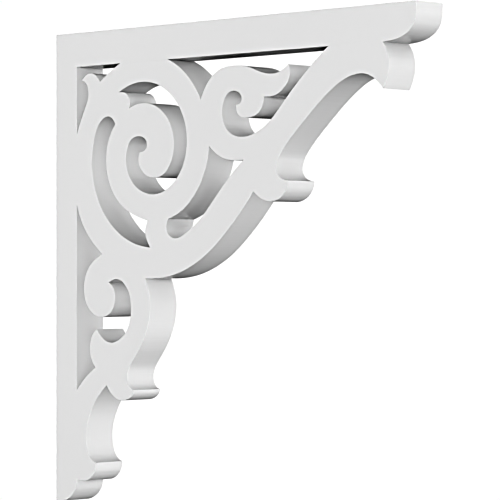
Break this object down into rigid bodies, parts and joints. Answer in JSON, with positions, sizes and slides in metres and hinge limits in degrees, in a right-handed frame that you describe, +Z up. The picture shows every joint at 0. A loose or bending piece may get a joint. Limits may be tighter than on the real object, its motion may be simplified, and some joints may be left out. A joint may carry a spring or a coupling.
{
  "type": "scrollwork corner bracket",
  "caption": "Flat scrollwork bracket cut from thick white PVC board, with a spiral whorl, small scrolls and a sweeping arm between a top rail and a wall stile.",
  "frame": {"origin": "middle of the flat face that is fixed to the wall: half way up the stile and half way through the board", "axes": "+X out from the wall along the top rail, +Y through the board from one scrollwork face to the other, +Z up"},
  "size_m": [0.675, 0.05, 0.66],
  "materials": {
    "white_pvc": "smooth matt white cellular PVC, unpainted, with machined edges of the same white"
  },
  "bodies": {
    "root": {"scroll_bracket": "white_pvc"}
  },
  "joints": []
}
